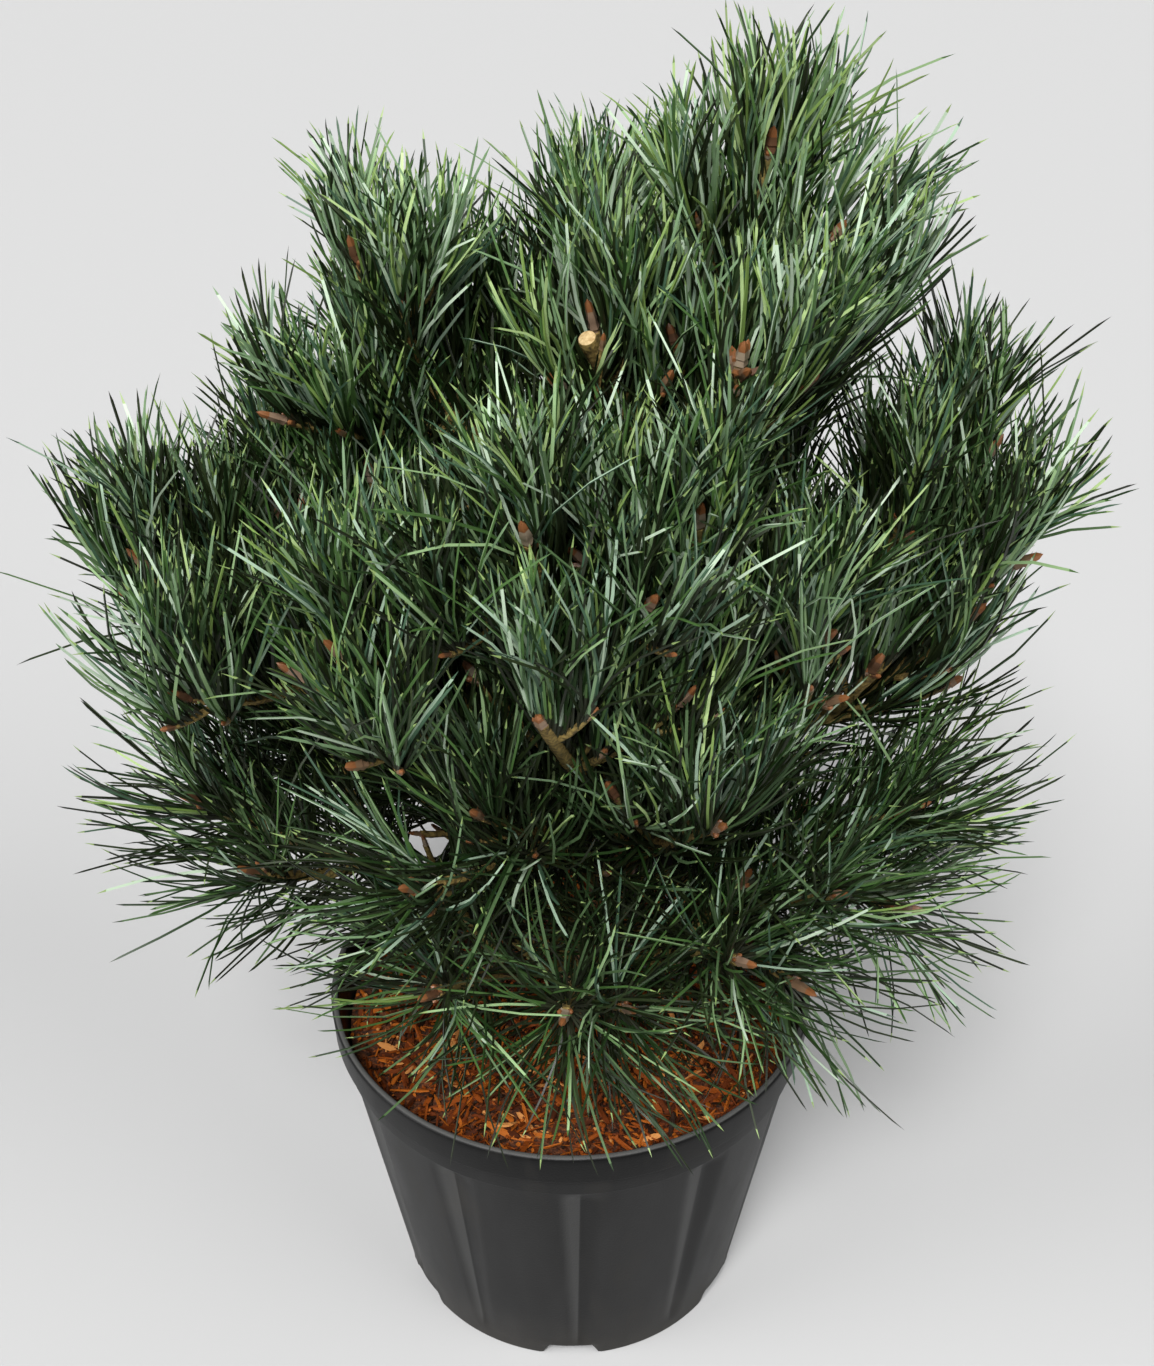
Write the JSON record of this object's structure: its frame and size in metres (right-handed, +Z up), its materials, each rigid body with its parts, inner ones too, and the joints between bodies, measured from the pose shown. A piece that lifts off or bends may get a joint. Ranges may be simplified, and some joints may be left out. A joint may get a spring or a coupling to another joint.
{
  "type": "potted scots pine",
  "caption": "Young Scots pine in a round nursery pot of bark mix: a short leaning trunk, upturned boughs and dense brushes of long blue-green needles, standing free on its pot.",
  "frame": {"origin": "on the ground under the middle of the pot, at the centre of its flat underside", "axes": "+Z up along the pot's axis, +X to the viewer's right, -Y towards the viewer at the front"},
  "size_m": [0.5764, 0.4817, 0.8268],
  "materials": {
    "container_plastic": "matte moulded plastic with a faint grey sheen and a little dust",
    "bark_mix": "rough shredded bark",
    "bark": "rough olive-brown bark with needle scars",
    "needles": "waxy blue-green"
  },
  "bodies": {
    "root": {"pot": "container_plastic", "potting_mix": "bark_mix", "trunk": "bark", "bough_skirt_front": "bark", "bough_skirt_left": "bark", "bough_skirt_right": "bark", "bough_low_front_right": "bark", "bough_low_left": "bark", "bough_low_back_left": "bark", "bough_back_low": "bark", "bough_low_right": "bark", "bough_front_left": "bark", "bough_front_right": "bark", "bough_mid_left": "bark", "bough_back_left": "bark", "bough_back_right": "bark", "bough_front_middle": "bark", "bough_middle_right": "bark", "bough_right": "bark", "bough_left": "bark", "bough_left_front": "bark", "bough_back_shoulder_right": "bark", "bough_shoulder_right": "bark", "bough_shoulder_left": "bark", "bough_back_shoulder_left": "bark", "bough_upper_front": "bark", "bough_upper_front_right": "bark", "bough_crown_front": "bark", "bough_upper_left": "bark", "bough_crown_middle": "bark", "bough_crown_back": "bark", "needles_skirt_front": "needles", "needles_skirt_left": "needles", "needles_skirt_right": "needles", "needles_low_front_right": "needles", "needles_low_left": "needles", "needles_low_back_left": "needles", "needles_back_low": "needles", "needles_low_right": "needles", "needles_front_left": "needles", "needles_front_right": "needles", "needles_mid_left": "needles", "needles_back_left": "needles", "needles_back_right": "needles", "needles_front_middle": "needles", "needles_middle_right": "needles", "needles_right": "needles", "needles_left": "needles", "needles_left_front": "needles", "needles_back_shoulder_right": "needles", "needles_shoulder_right": "needles", "needles_shoulder_left": "needles", "needles_back_shoulder_left": "needles", "needles_upper_front": "needles", "needles_upper_front_right": "needles", "needles_crown_front": "needles", "needles_upper_left": "needles", "needles_crown_middle": "needles", "needles_crown_back": "needles", "needles_leader": "needles"}
  },
  "joints": []
}
